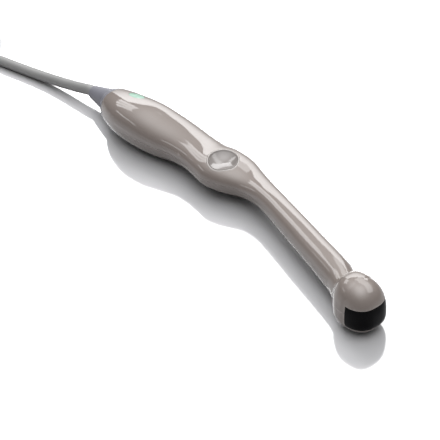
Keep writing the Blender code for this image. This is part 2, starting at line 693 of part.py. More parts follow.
def plug(look):
    body_long, shell_long = 30.0, 13.0
    body = block("plug_body", (body_long, 15.0, 8.0), look["cable"], 1.2)
    place(body, PLUG_START + body_long / 2, PLUG_Y, PLUG_Z)
    shell = block("plug_shell", (shell_long, 12.0, 4.5), look["steel"])
    shell_x = PLUG_START + body_long + GAP + shell_long / 2
    place(shell, shell_x, PLUG_Y, PLUG_Z)
    mouth = block("plug_mouth", (shell_long, 11.3, 3.8), look["steel"])
    cut(shell, place(mouth, shell_x + 1.0, PLUG_Y, PLUG_Z))
    tongue = block("plug_tongue", (10.0, 10.4, 1.6), look["frame"])
    place(tongue, shell_x + 0.8, PLUG_Y, PLUG_Z + 0.7)


def build():
    clear_scene()
    look = finishes()
    shells(look)
    nose_window(look)
    status_light(look)
    capture_button(look)
    electronics(look)
    neck_parts(look)
    optics(look)
    cable_entry(look)
    case_screws(look)
    stored_cable(look)
    plug(look)


build()
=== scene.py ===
"""Looks of a hand-held dental camera: bent glossy shells, nose window, thumb button, boot and cable."""

import json
import math

import bmesh
import bpy
from mathutils import Matrix, Vector


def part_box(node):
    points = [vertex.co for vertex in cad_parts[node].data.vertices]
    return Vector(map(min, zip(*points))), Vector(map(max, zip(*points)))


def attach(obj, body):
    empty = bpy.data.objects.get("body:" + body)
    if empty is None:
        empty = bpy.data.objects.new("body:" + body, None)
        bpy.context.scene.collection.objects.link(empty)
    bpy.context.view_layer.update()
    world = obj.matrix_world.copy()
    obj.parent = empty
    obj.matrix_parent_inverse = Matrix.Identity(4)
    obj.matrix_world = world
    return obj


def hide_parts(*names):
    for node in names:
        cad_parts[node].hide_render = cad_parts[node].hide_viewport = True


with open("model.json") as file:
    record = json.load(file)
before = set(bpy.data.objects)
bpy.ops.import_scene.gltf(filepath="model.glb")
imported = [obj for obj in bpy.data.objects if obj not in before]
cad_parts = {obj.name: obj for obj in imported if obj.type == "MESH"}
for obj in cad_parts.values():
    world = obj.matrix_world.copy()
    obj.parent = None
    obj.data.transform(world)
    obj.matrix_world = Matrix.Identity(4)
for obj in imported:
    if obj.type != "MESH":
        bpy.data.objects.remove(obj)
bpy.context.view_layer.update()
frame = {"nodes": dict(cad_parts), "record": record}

MM = 0.001
SCENE = bpy.context.scene

# ---------------------------------------------------------------- camera

CAMERA_PLACE = (0.259355, -0.163206, 0.203149)
CAMERA_TURN = math.radians(57.69)
CAMERA_RISE = math.radians(35.13)
CAMERA_ROLL = math.radians(-6.243)
CAMERA_LENS = 75.67


def set_camera():
    right = Vector((math.cos(CAMERA_TURN), math.sin(CAMERA_TURN), 0.0))
    level = math.cos(CAMERA_RISE)
    back = Vector((math.sin(CAMERA_TURN) * level, -math.cos(CAMERA_TURN) * level, math.sin(CAMERA_RISE)))
    up = back.cross(right)
    rolled_right = right * math.cos(CAMERA_ROLL) + up * math.sin(CAMERA_ROLL)
    rolled_up = up * math.cos(CAMERA_ROLL) - right * math.sin(CAMERA_ROLL)
    lens = bpy.data.cameras.new("camera")
    lens.lens = CAMERA_LENS
    lens.sensor_width = 36.0
    lens.clip_start = 0.01
    lens.clip_end = 50.0
    camera = bpy.data.objects.new("camera", lens)
    turn = Matrix((rolled_right, rolled_up, back)).transposed().to_4x4()
    camera.matrix_world = Matrix.Translation(CAMERA_PLACE) @ turn
    SCENE.collection.objects.link(camera)
    SCENE.camera = camera


# ---------------------------------------------------------------- shape of the handpiece, in millimetres

# x, y and z of the section's centre, half width, half height.
STATIONS = (
    (-82.6, 2.8, 8.8, 5.8, 6.3),
    (-80.4, 2.0, 9.1, 7.1, 7.4),
    (-75.0, 1.2, 10.2, 8.5, 8.2),
    (-63.0, 1.2, 10.4, 10.5, 9.4),
    (-50.8, 2.6, 9.8, 11.2, 9.9),
    (-38.6, 4.5, 8.8, 10.8, 8.9),
    (-28.4, 5.7, 8.8, 9.7, 7.5),
    (-18.4, 5.8, 8.9, 9.2, 6.6),
    (-10.4, 5.6, 8.9, 9.7, 6.3),
    (-2.3, 6.0, 8.7, 10.6, 6.9),
    (5.8, 7.2, 8.2, 9.6, 6.3),
    (13.9, 7.9, 8.1, 7.0, 5.2),
    (21.9, 7.2, 8.4, 5.5, 4.8),
    (31.7, 5.3, 8.7, 5.0, 4.9),
    (46.5, 2.1, 8.6, 5.1, 5.1),
    (61.3, -1.1, 8.4, 5.2, 5.2),
    (76.1, -4.3, 7.9, 5.4, 5.7),
    (90.0, -8.0, 7.2, 5.5, 5.9),
)
SECTION_POWER = 2.3
HEAD_X, HEAD_Y, HEAD_Z = 92.6, -9.1, 6.0
HEAD_LONG, HEAD_WIDE = 8.7, 7.6
HEAD_UP, HEAD_DOWN = 11.6, 6.1
HEAD_POWER = 2.5
NECK_TURN = math.radians(-12.2)
PARTING_Z = 8.7
WINDOW_START, WINDOW_LOW, WINDOW_HIGH = 3.0, 3.6, 11.4
SHELL_WALL = 1.5
WINDOW_WALL = 1.25
HAIRLINE = 0.05  # half of the gap between two pieces that meet
NECK_END = 82.0

BUTTON_X, BUTTON_Y = 0.5, 4.9
BUTTON_TIP = 0.16
BUTTON_REACH = 5.86
BUTTON_SINK = 0.1
FLANGE_REACH, FLANGE_LOW, FLANGE_HIGH = 6.25, 11.65, 12.2
RIM_INNER, RIM_OUTER, RIM_DEPTH = 5.92, 6.5, 1.6
DISH_FLOOR = 12.7

STATUS_X, STATUS_Y = -61.5, 4.2
STATUS_TURN = math.radians(12)
STATUS_LONG, STATUS_WIDE, STATUS_THICK = 4.5, 2.0, 1.3

BOOT_END = (-101.3, 3.1, 7.0)
BOOT_COLLAR = 3.35
BOOT_WALL = 0.9
BOOT_FRONT = -76.2
SIDES = 112


def curve_through(xs, ys):
    """A smooth curve through the points, as a function of x."""
    slopes = []
    for i in range(len(xs)):
        low, high = max(i - 1, 0), min(i + 1, len(xs) - 1)
        slopes.append((ys[high] - ys[low]) / (xs[high] - xs[low]))

    def value(x):
        i = max(k for k in range(len(xs) - 1) if k == 0 or xs[k] <= x)
        span = xs[i + 1] - xs[i]
        t = (x - xs[i]) / span
        return (
            ys[i] * (1 + 2 * t) * (1 - t) ** 2
            + ys[i + 1] * t * t * (3 - 2 * t)
            + span * (slopes[i] * t * (1 - t) ** 2 - slopes[i + 1] * t * t * (1 - t))
        )

    return value


SPINE = [curve_through([s[0] for s in STATIONS], [s[k] for s in STATIONS]) for k in range(1, 5)]


def eased(t):
    t = min(max(t, 0.0), 1.0)
    return t * t * (3 - 2 * t)


def larger(a, b, power=6.0):
    """The larger of two sizes, with a soft change between them."""
    return (max(a, 0.0) ** power + max(b, 0.0) ** power) ** (1.0 / power)


def section(x):
    """(y, z of the widest level, half width, height above it, depth below it, power) of the body at x."""
    t = min(abs((x - HEAD_X) / HEAD_LONG), 1.0)
    full = (1 - t**HEAD_POWER) ** (1 / HEAD_POWER)
    if x > HEAD_X:
        return HEAD_Y, HEAD_Z, HEAD_WIDE * full, HEAD_UP * full, HEAD_DOWN * full, HEAD_POWER
    y, z, width, height = (at(x) for at in SPINE)
    near = eased((x - (HEAD_X - 1.6 * HEAD_LONG)) / (1.6 * HEAD_LONG))
    middle = z + (HEAD_Z - z) * near
    up = larger(z + height - middle, HEAD_UP * full)
    down = larger(middle - z + height, HEAD_DOWN * full)
    power = SECTION_POWER + (HEAD_POWER - SECTION_POWER) * near
    return y + (HEAD_Y - y) * near, middle, larger(width, HEAD_WIDE * full), up, down, power


def soft_square(angle, power):
    """Across and upward on a unit outline between a circle (power 2) and a square."""
    c, s = math.cos(angle), math.sin(angle)
    return math.copysign(abs(c) ** (2 / power), c), math.copysign(abs(s) ** (2 / power), s)


def skin_ring(x, less=0.0):
    """The body's outline at x, moved inwards by less, as a function from an angle to a point."""
    y, z, width, up, down, power = section(x)

    def at(angle):
        across, upward = soft_square(angle, power)
        height = up - less if upward > 0 else down - less
        return Vector((x, y + (width - less) * across, z + height * upward))

    return at


def crest(x, y):
    """Height of the top skin over a point."""
    middle, z, width, up, _, power = section(x)
    off = min(abs((y - middle) / width), 0.999)
    return z + up * (1 - off**power) ** (1 / power)


# ---------------------------------------------------------------- mesh helpers


def finished(name, bm, finish, sharp=35.0):
    """The mesh, in millimetres, as an object in metres at the origin."""
    bmesh.ops.scale(bm, vec=(MM, MM, MM), verts=bm.verts)
    mesh = bpy.data.meshes.new(name)
    bm.to_mesh(mesh)
    bm.free()
    mesh.shade_smooth()
    mesh.set_sharp_from_angle(angle=math.radians(sharp))
    mesh.materials.append(finish)
    thing = bpy.data.objects.new(name, mesh)
    SCENE.collection.objects.link(thing)
    return thing


def outward(bm):
    bmesh.ops.recalc_face_normals(bm, faces=bm.faces)


def lofted(rings, sides, closed_start=True, closed_end=True):
    """A bmesh skin through rings, each a function from an angle to a point."""
    bm = bmesh.new()
    bmesh.ops.create_circle(bm, segments=sides, radius=1.0)
    angle = {v: math.atan2(v.co.y, v.co.x) for v in bm.verts}
    for v in bm.verts:
        v.co = rings[0](angle[v])
    edges = bm.edges[:]
    if closed_start:
        bmesh.ops.edgeloop_fill(bm, edges=edges)
    for at in rings[1:]:
        made = bmesh.ops.extrude_edge_only(bm, edges=edges)["geom"]
        fresh = {g for g in made if isinstance(g, bmesh.types.BMVert)}
        edges = [g for g in made if isinstance(g, bmesh.types.BMEdge) and set(g.verts) <= fresh]
        for v in fresh:
            behind = next(e.other_vert(v) for e in v.link_edges if e.other_vert(v) not in fresh)
            angle[v] = angle[behind]
            v.co = at(angle[v])
    if closed_end:
        bmesh.ops.edgeloop_fill(bm, edges=edges)
    outward(bm)
    return bm


def body_skin():
    """The whole outside of the handpiece, from a small rounded edge at the boot to the head."""
    start = BOOT_FRONT + HAIRLINE
    edge = ((0.0, 0.45), (0.06, 0.22), (0.2, 0.06), (0.4, 0.0))
    rings = [skin_ring(start + along, less) for along, less in edge]
    start += edge[-1][0]
    body_steps, neck_steps, head_steps = 150, 16, 26
    rings += [skin_ring(start + (NECK_END - start) * k / body_steps) for k in range(1, body_steps + 1)]
    rings += [skin_ring(NECK_END + (HEAD_X - NECK_END) * k / neck_steps) for k in range(1, neck_steps + 1)]
    round_to = 1.44
    for k in range(1, head_steps + 1):
        rings.append(skin_ring(HEAD_X + HEAD_LONG * math.sin(round_to * k / head_steps)))
    return lofted(rings, SIDES)


def keep_side(bm, point, normal):
    """Cuts by a plane and keeps what lies on the normal's side."""
    bmesh.ops.bisect_plane(
        bm, geom=bm.verts[:] + bm.edges[:] + bm.faces[:], dist=1e-5,
        plane_co=point, plane_no=normal, clear_inner=True,
    )


def split(bm, point, normal):
    bmesh.ops.bisect_plane(
        bm, geom=bm.verts[:] + bm.edges[:] + bm.faces[:], dist=1e-5, plane_co=point, plane_no=normal
    )


def walled(bm, thickness):
    """Gives an open skin a wall on its inner side."""
    bmesh.ops.solidify(bm, geom=bm.faces[:], thickness=thickness)


def window_axes():
    """The window's heading, and the point where its block starts."""
    ahead = Vector((math.cos(NECK_TURN), math.sin(NECK_TURN), 0.0))
    return ahead, Vector((HEAD_X, HEAD_Y, 0.0)) + ahead * WINDOW_START


def in_window(point, grow):
    ahead, start = window_axes()
    return (point - start).dot(ahead) > -grow and WINDOW_LOW - grow < point.z < WINDOW_HIGH + grow


def button_outline(angle, radius):
    """A round outline with a soft point towards the neck."""
    away = (angle + math.pi) % math.tau - math.pi
    return radius * (1 + BUTTON_TIP * math.exp(-((away / 0.45) ** 2)))


def button_spot(angle, radius):
    reach = button_outline(angle, radius)
    return BUTTON_X + reach * math.cos(angle), BUTTON_Y + reach * math.sin(angle)


def status_spot(angle, share):
    along = STATUS_LONG * share * math.cos(angle)
    across = STATUS_WIDE * share * math.sin(angle)
    c, s = math.cos(STATUS_TURN), math.sin(STATUS_TURN)
    return STATUS_X + along * c - across * s, STATUS_Y + along * s + across * c


def prism(spot, sides):
    """An upright cutter through the top skin, with the outline that spot gives."""
    low, high = 4.0, 30.0
    return lofted([lambda a: Vector((*spot(a), low)), lambda a: Vector((*spot(a), high))], sides)


def cut_through(bm, cutter):
    """Takes the cutter out of the bmesh, by an exact Boolean."""
    body_mesh, cutter_mesh = bpy.data.meshes.new("cut_body"), bpy.data.meshes.new("cut_tool")
    bm.to_mesh(body_mesh)
    cutter.to_mesh(cutter_mesh)
    cutter.free()
    body = bpy.data.objects.new("cut_body", body_mesh)
    tool = bpy.data.objects.new("cut_tool", cutter_mesh)
    for thing in (body, tool):
        SCENE.collection.objects.link(thing)
    step = body.modifiers.new("cut", "BOOLEAN")
    step.operation, step.solver, step.object = "DIFFERENCE", "EXACT", tool
    made = bpy.data.meshes.new_from_object(body.evaluated_get(bpy.context.evaluated_depsgraph_get()))
    bm.clear()
    bm.from_mesh(made)
    for thing in (body, tool):
        bpy.data.objects.remove(thing, do_unlink=True)
    for mesh in (body_mesh, cutter_mesh, made):
        bpy.data.meshes.remove(mesh)


def drop_faces(bm, unwanted):
    bmesh.ops.delete(bm, geom=[f for f in bm.faces if unwanted(f)], context="FACES")


# ---------------------------------------------------------------- pieces of the handpiece


def shell_top(finish):
    bm = body_skin()
    cut_through(bm, prism(lambda a: button_spot(a, RIM_OUTER + HAIRLINE), 96))
    cut_through(bm, prism(lambda a: status_spot(a, 1.02), 64))
    keep_side(bm, (0, 0, PARTING_Z + HAIRLINE), (0, 0, 1))
    drop_faces(bm, is_well_wall)
    open_window(bm)
    walled(bm, SHELL_WALL)
    return finished("shell_top", bm, finish)


def is_well_wall(face):
    """True for the upright walls that the cutters leave inside the openings."""
    if abs(face.normal.z) > 0.02:
        return False
    middle = face.calc_center_median()
    button_reach, status_reach = 8.0, 5.2
    near_button = math.hypot(middle.x - BUTTON_X, middle.y - BUTTON_Y) < button_reach
    near_status = math.hypot(middle.x - STATUS_X, middle.y - STATUS_Y) < status_reach
    return near_button or near_status


def shell_bottom(finish):
    bm = body_skin()
    keep_side(bm, (0, 0, PARTING_Z - HAIRLINE), (0, 0, -1))
    keep_side(bm, (0, 0, 0.0), (0, 0, 1))
    flat = [e for e in bm.edges if e.is_boundary and e.verts[0].co.z < 0.01]
    bmesh.ops.edgeloop_fill(bm, edges=flat)
    outward_open(bm)
    open_window(bm)
    walled(bm, SHELL_WALL)
    return finished("shell_bottom", bm, finish)


def outward_open(bm):
    """Turns all faces outwards on a skin that is open at its top."""
    outward(bm)
    lowest = min(bm.faces, key=lambda f: f.calc_center_median().z)
    if lowest.normal.z > 0:
        bmesh.ops.reverse_faces(bm, faces=bm.faces[:])


def open_window(bm):
    ahead, start = window_axes()
    split(bm, start - ahead * HAIRLINE, ahead)
    split(bm, (0, 0, WINDOW_LOW - HAIRLINE), (0, 0, 1))
    split(bm, (0, 0, WINDOW_HIGH + HAIRLINE), (0, 0, 1))
    drop_faces(bm, lambda f: in_window(f.calc_center_median(), HAIRLINE))


def nose_glass(finish):
    bm = body_skin()
    ahead, start = window_axes()
    keep_side(bm, start + ahead * HAIRLINE, ahead)
    keep_side(bm, (0, 0, WINDOW_LOW + HAIRLINE), (0, 0, 1))
    keep_side(bm, (0, 0, WINDOW_HIGH - HAIRLINE), (0, 0, -1))
    walled(bm, WINDOW_WALL)
    return finished("nose_glass", bm, finish)


def dish_height(x, y, share):
    """Height of the thumb dish: a bowl whose edge follows the skin round it."""
    edge = crest(x, y) - BUTTON_SINK
    return DISH_FLOOR + (edge - DISH_FLOOR) * share**2.2


def thumb_button(finish):
    """The capture button: a bowl inside the rim, with a skirt down to its flange."""

    def top(share):
        def at(angle):
            x, y = button_spot(angle, BUTTON_REACH)
            height = dish_height(x, y, share)
            return Vector((BUTTON_X + (x - BUTTON_X) * share, BUTTON_Y + (y - BUTTON_Y) * share, height))

        return at

    def lip(radius, below):
        def at(angle):
            x, y = button_spot(angle, radius)
            return Vector((x, y, dish_height(x, y, 1.0) - below))

        return at

    def level(radius, height):
        return lambda angle: Vector((*button_spot(angle, radius), height))

    steps = 22
    rings = [top(k / steps) for k in range(1, steps)]
    rings += [lip(BUTTON_REACH - 0.1, 0.0), lip(BUTTON_REACH, 0.1), lip(BUTTON_REACH, 0.6)]
    rings += [level(BUTTON_REACH, FLANGE_HIGH), level(FLANGE_REACH, FLANGE_HIGH)]
    rings += [level(FLANGE_REACH, FLANGE_LOW), level(1.0, FLANGE_LOW)]
    return finished("thumb_button", lofted(rings, 96), finish)


def button_rim(finish):
    """The thin rounded rim between the shell and the button."""
    profile = (
        (RIM_OUTER, -RIM_DEPTH), (RIM_OUTER, -0.16), (RIM_OUTER - 0.05, -0.03), (RIM_OUTER - 0.14, 0.02),
        (RIM_OUTER - 0.28, 0.0), (RIM_OUTER - 0.42, -0.06), (RIM_INNER + 0.05, -0.14), (RIM_INNER, -0.26),
        (RIM_INNER, -RIM_DEPTH),
    )

    def ring(radius, height):
        def at(angle):
            x, y = button_spot(angle, radius)
            return Vector((x, y, crest(x, y) + height))

        return at

    bm = lofted([ring(*p) for p in profile], 96, closed_start=False, closed_end=False)
    bmesh.ops.bridge_loops(bm, edges=[e for e in bm.edges if e.is_boundary])
    outward(bm)
    return finished("button_rim", bm, finish, 50.0)


def status_lens(finish):
    """A flush, slightly crowned oval window over the status light."""

    def skin(share, lift):
        def at(angle):
            x, y = status_spot(angle, share)
            return Vector((x, y, crest(x, y) + lift))

        return at

    rings = [skin(share, 0.02) for share in (0.04, 0.2, 0.4, 0.6, 0.8, 0.92)]
    rings += [skin(0.985, 0.0), skin(1.0, -0.08), skin(1.0, -STATUS_THICK), skin(0.05, -STATUS_THICK)]
    return finished("status_lens", lofted(rings, 64), finish)


def cable_boot(finish):
    """The strain relief: a tapered collar for the cable, and a sleeve over the shell's rear."""
    end = Vector(BOOT_END)
    start = Vector(STATIONS[0][:3])
    start_wide, start_high = STATIONS[0][3:]

    def oval(share, wide, high):
        x, y, z = end + (start - end) * share
        return lambda angle: Vector((x, y + wide * math.cos(angle), z + high * math.sin(angle)))

    straight = 0.04
    edge = ((0.0, 2.62), (0.003, 2.95), (0.012, 3.2), (straight, BOOT_COLLAR))
    rings = [oval(share, radius, radius) for share, radius in edge]
    taper_steps, sleeve_steps = 16, 14
    for k in range(1, taper_steps):
        grown = k / taper_steps
        wide = BOOT_COLLAR + (start_wide - BOOT_COLLAR) * grown
        high = BOOT_COLLAR + (start_high - BOOT_COLLAR) * grown
        rings.append(oval(straight + (1 - straight) * grown, wide, high))
    reach = BOOT_FRONT - 0.4 - start.x
    rings += [skin_ring(start.x + reach * k / sleeve_steps) for k in range(sleeve_steps + 1)]
    rings += [skin_ring(BOOT_FRONT - 0.12, 0.06), skin_ring(BOOT_FRONT, 0.3)]
    rings += [skin_ring(BOOT_FRONT, BOOT_WALL), skin_ring(start.x + 0.4, BOOT_WALL)]
    return finished("cable_boot", lofted(rings, 80), finish)


# ---------------------------------------------------------------- cable, strap and plug

CABLE_THICK = 5.2
CABLE_RUN = (
    (-100.6, 3.1, 7.0),
    (-105.0, 3.0, 6.9),
    (-110.0, 2.0, 6.3),
    (-118.0, 0.6, 5.3),
    (-130.0, -1.3, 4.0),
    (-142.0, -3.4, 3.1),
    (-154.0, -5.8, 2.7),
    (-168.0, -8.8, 2.6),
    (-180.0, -11.4, 2.6),
    (-194.0, -14.4, 2.6),
    (-210.0, -17.0, 2.6),
    (-226.0, -19.0, 2.6),
    (-238.0, -19.8, 2.6),
    (-254.0, -20.1, 2.6),
)
HANK_X, HANK_Y = -293.2, 0.5
HALF_STRAIGHT = 24.5
LANE_OUT, LANE_IN = 20.6, 15.4
LANES = (
    (LANE_OUT, 2.6), (LANE_IN, 2.6), (LANE_IN, 7.8), (LANE_OUT, 7.8),
    (LANE_OUT, 13.0), (LANE_IN, 13.0), (LANE_IN, 18.2), (LANE_OUT, 18.2), (LANE_OUT, 23.9),
)
TIE_WIDE, TIE_HALF_INNER, TIE_LOW, TIE_HIGH = 9.0, 20.0, 1.2, 19.8
TOP_BEND = 15.05
PLUG_X, PLUG_Y, PLUG_Z = -303.0, 10.0, 25.4
PLUG_HALF = Vector((15.0, 7.5, 4.0))
TOP_LEVEL = 23.9  # of the tail on top of the turns
TIED_BELOW = 19.0  # turns above this level pass over the tie
TIE_LEVEL = 10.4  # that the tie pulls the turns towards
TIE_PINCH, TIE_SQUEEZE, TIE_RUN_IN = 3.3, 0.13, 11.0
SHIFT_SPAN = 0.25  # of a turn, taken by the move to the next turn's place
STEP = 2.6


def along_run(route):
    """Points a step apart on a smooth curve through the route's points."""
    lengths = [0.0]
    for a, b in zip(route, route[1:]):
        lengths.append(lengths[-1] + math.dist(a, b))
    axes = [curve_through(lengths, [p[k] for p in route]) for k in range(3)]
    count = round(lengths[-1] / STEP)
    return [Vector([axis(lengths[-1] * i / count) for axis in axes]) for i in range(count + 1)]


def hank_turn(turn):
    """One turn of the hank, and its shift to the next turn's place near its end."""
    radius, height = LANES[turn]
    next_radius, next_height = LANES[turn + 1]
    shift_at = 1 - (turn + 0.5) / (len(LANES) - 1)
    points = []

    def add(x, heading, where):
        move = eased((where - shift_at) / SHIFT_SPAN + 0.5)
        r = radius + (next_radius - radius) * move
        z = height + (next_height - height) * move
        x += r * heading[0]
        across = r * heading[1]
        if z < TIED_BELOW:
            near_tie = 1 - eased((abs(x - HANK_X) - TIE_WIDE / 2) / TIE_RUN_IN)
            across -= math.copysign(near_tie * TIE_PINCH, across)
            z += near_tie * TIE_SQUEEZE * (TIE_LEVEL - z)
        points.append(Vector((x, HANK_Y + across, z)))

    straight = round(2 * HALF_STRAIGHT / STEP)
    bend = round(math.pi * radius / STEP)
    for i in range(straight):
        add(HANK_X + HALF_STRAIGHT - 2 * HALF_STRAIGHT * i / straight, (0.0, -1.0), -9.0)
    for i in range(bend):
        a = -math.pi / 2 - math.pi * i / bend
        add(HANK_X - HALF_STRAIGHT, (math.cos(a), math.sin(a)), -0.45 * (1 - i / bend))
    for i in range(straight):
        add(HANK_X - HALF_STRAIGHT + 2 * HALF_STRAIGHT * i / straight, (0.0, 1.0), 0.45 * i / straight)
    for i in range(bend):
        a = math.pi / 2 - math.pi * i / bend
        add(HANK_X + HALF_STRAIGHT, (math.cos(a), math.sin(a)), 0.45 + 0.55 * i / bend)
    return points


def top_tail():
    """Along one side on top of the turns, round the end, and into the plug."""
    side = HANK_Y - LANE_OUT
    bend_x = -316.0
    bend_y = side + TOP_BEND
    route = [(x, side, TOP_LEVEL) for x in (HANK_X + HALF_STRAIGHT, -282.0, -295.0, -306.0)]
    for k in range(7):
        a = -math.pi / 2 - math.pi * k / 6
        x, y = bend_x + TOP_BEND * math.cos(a), bend_y + TOP_BEND * math.sin(a)
        route.append((x, y, TOP_LEVEL + 0.1 * k))
    route += [(-309.0, PLUG_Y, 25.2), (PLUG_X + 1.0, PLUG_Y, PLUG_Z)]
    return along_run(route)


def cable_points():
    points = along_run(CABLE_RUN)
    for turn in range(len(LANES) - 1):
        points += hank_turn(turn)
    points += top_tail()
    return [p * MM for p in points]


def cable(finish):
    line = bpy.data.curves.new("cable", "CURVE")
    line.dimensions = "3D"
    line.bevel_depth = CABLE_THICK / 2 * MM
    line.bevel_resolution = 5
    line.use_fill_caps = True
    line.resolution_u = 1
    points = cable_points()
    spline = line.splines.new("POLY")
    spline.points.add(len(points) - 1)
    for target, point in zip(spline.points, points):
        target.co = (*point, 1.0)
    line.materials.append(finish)
    thing = bpy.data.objects.new("cable", line)
    SCENE.collection.objects.link(thing)
    return thing, sum((a - b).length for a, b in zip(points, points[1:]))


def rounded_box(half_x, half_y, half_z, radius, middle):
    """A box with all its edges rounded."""
    bm = bmesh.new()
    bmesh.ops.create_cube(bm, size=2.0)
    bmesh.ops.scale(bm, vec=(half_x, half_y, half_z), verts=bm.verts)
    bmesh.ops.bevel(
        bm, geom=bm.edges[:], offset=radius, segments=4, affect="EDGES", profile=0.5, material=-1
    )
    bmesh.ops.translate(bm, vec=middle, verts=bm.verts)
    return bm


def strap(finish):
    """The hook-and-loop strap round the hank: a band with a lapped end."""
    middle = Vector((HANK_X, HANK_Y, (TIE_LOW + TIE_HIGH) / 2))
    half_y, half_z = TIE_HALF_INNER + 0.05, (TIE_HIGH - TIE_LOW) / 2 + 0.05
    lap_half, lap_y, lap_lift = 7.68, -8.0, 0.72
    bm = bmesh.new()
    bmesh.ops.create_circle(bm, segments=72, radius=1.0)
    for v in bm.verts:
        across, upward = soft_square(math.atan2(v.co.y, v.co.x), 6.0)
        v.co = middle + Vector((-TIE_WIDE / 2, across * half_y, upward * half_z))
    made = bmesh.ops.extrude_edge_only(bm, edges=bm.edges[:])["geom"]
    fresh = [g for g in made if isinstance(g, bmesh.types.BMVert)]
    bmesh.ops.translate(bm, vec=(TIE_WIDE, 0, 0), verts=fresh)
    outward(bm)
    if sum((f.calc_center_median() - middle).dot(f.normal) for f in bm.faces) < 0:
        bmesh.ops.reverse_faces(bm, faces=bm.faces[:])
    bmesh.ops.solidify(bm, geom=bm.faces[:], thickness=-1.05)
    lap_middle = middle + Vector((0, lap_y, half_z + lap_lift))
    lap = rounded_box(TIE_WIDE / 2 - 0.1, lap_half, 0.35, 0.25, lap_middle)
    joined = bpy.data.meshes.new("lap")
    lap.to_mesh(joined)
    lap.free()
    bm.from_mesh(joined)
    bpy.data.meshes.remove(joined)
    return finished("strap", bm, finish)


def plug_grip(finish):
    """The plug's moulded body, with a collar for the cable and three grip grooves on each face."""
    _, wide, high = PLUG_HALF
    end = 2 * PLUG_HALF.x

    def outline(along, half_wide, half_high, power=6.0):
        def at(angle):
            across, upward = soft_square(angle, power)
            return Vector((PLUG_X + along, PLUG_Y + half_wide * across, PLUG_Z + half_high * upward))

        return at

    rings = [outline(0.0, 2.8, 2.75, 2.0), outline(0.2, 3.4, 3.1, 2.2), outline(1.2, 4.6, 3.5, 3.0)]
    rings += [outline(3.0, 6.6, 3.8, 4.5), outline(5.0, 7.3, 3.95)]
    for k in range(3):
        groove = 8.0 + 3.4 * k
        rings += [outline(groove, wide, high), outline(groove + 0.35, wide - 0.35, high - 0.3)]
        rings += [outline(groove + 1.25, wide - 0.35, high - 0.3), outline(groove + 1.6, wide, high)]
    rings += [outline(end - 1.4, wide, high), outline(end - 0.4, wide - 0.3, high - 0.3)]
    rings += [outline(end, wide - 0.9, high - 0.8)]
    return finished("plug_grip", lofted(rings, 80), finish, 28.0)


def plug_metal(finish):
    """The plug's folded metal shell, with its two latch windows above and below."""
    low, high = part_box("plug_shell")
    low, high = low / MM, high / MM
    middle, size = (low + high) / 2, high - low
    bm = bmesh.new()
    bmesh.ops.create_cube(bm, size=1.0)
    bmesh.ops.scale(bm, vec=size, verts=bm.verts)
    bmesh.ops.delete(bm, geom=[f for f in bm.faces if f.normal.x > 0.9], context="FACES")
    long_edges = [e for e in bm.edges if abs(e.verts[0].co.x - e.verts[1].co.x) > 1.0]
    bmesh.ops.bevel(
        bm, geom=long_edges, offset=0.6, segments=4, affect="EDGES", profile=0.5, material=-1
    )
    bmesh.ops.translate(bm, vec=middle, verts=bm.verts)
    front = high.x
    for x in (front - 6.9, front - 4.3):
        split(bm, (x, 0, 0), (1, 0, 0))
    for side in (-1, 1):
        for y in (1.5, 4.0):
            split(bm, (0, middle.y + side * y, 0), (0, 1, 0))

    def is_latch(face):
        at = face.calc_center_median()
        aside = abs(at.y - middle.y)
        return abs(face.normal.z) > 0.9 and 1.5 < aside < 4.0 and front - 6.9 < at.x < front - 4.3

    drop_faces(bm, is_latch)
    walled(bm, 0.34)
    return finished("plug_metal", bm, finish)


def plug_contacts(finish):
    """Four gold fingers on the plug's tongue."""
    low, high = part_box("plug_tongue")
    low, high = low / MM, high / MM
    fingers = []
    for k in range(4):
        y = (low.y + high.y) / 2 + (k - 1.5) * 2.2
        middle = Vector((high.x - 3.6, y, low.z - 0.06))
        bm = rounded_box(3.2, 0.5, 0.1, 0.06, middle)
        fingers.append(finished(f"plug_contact_{k + 1}", bm, finish))
    return fingers


# ---------------------------------------------------------------- finishes


def new_group(name, inputs, outputs):
    group = bpy.data.node_groups.new(name, "ShaderNodeTree")
    for label, kind, value in inputs:
        socket = group.interface.new_socket(name=label, in_out="INPUT", socket_type=kind)
        if value is not None:
            socket.default_value = value
    for label, kind in outputs:
        group.interface.new_socket(name=label, in_out="OUTPUT", socket_type=kind)
    return group, group.nodes.new("NodeGroupInput"), group.nodes.new("NodeGroupOutput")


def noise(tree, vector, scale, detail=2.0):
    node = tree.nodes.new("ShaderNodeTexNoise")
    node.inputs["Detail"].default_value = detail
    tree.links.new(vector, node.inputs["Vector"])
    if isinstance(scale, float):
        node.inputs["Scale"].default_value = scale
    else:
        tree.links.new(scale, node.inputs["Scale"])
    return node.outputs["Fac"]


def spread(tree, value, low, high, to_low, to_high):
    """A value from one range to another; the new ends may be sockets."""
    node = tree.nodes.new("ShaderNodeMapRange")
    node.inputs["From Min"].default_value = low
    node.inputs["From Max"].default_value = high
    tree.links.new(value, node.inputs["Value"])
    for socket, end in (("To Min", to_low), ("To Max", to_high)):
        if isinstance(end, float):
            node.inputs[socket].default_value = end
        else:
            tree.links.new(end, node.inputs[socket])
    return node.outputs["Result"]


def blended(tree, share, first, second):
    """A mix of two colours; the mix node's sockets for colours are known by number only."""
    colour_a, colour_b, colour_out = 6, 7, 2
    node = tree.nodes.new("ShaderNodeMix")
    node.data_type = "RGBA"
    tree.links.new(share, node.inputs["Factor"])
    for index, source in ((colour_a, first), (colour_b, second)):
        if isinstance(source, tuple):
            node.inputs[index].default_value = source
        else:
            tree.links.new(source, node.inputs[index])
    return node.outputs[colour_out]


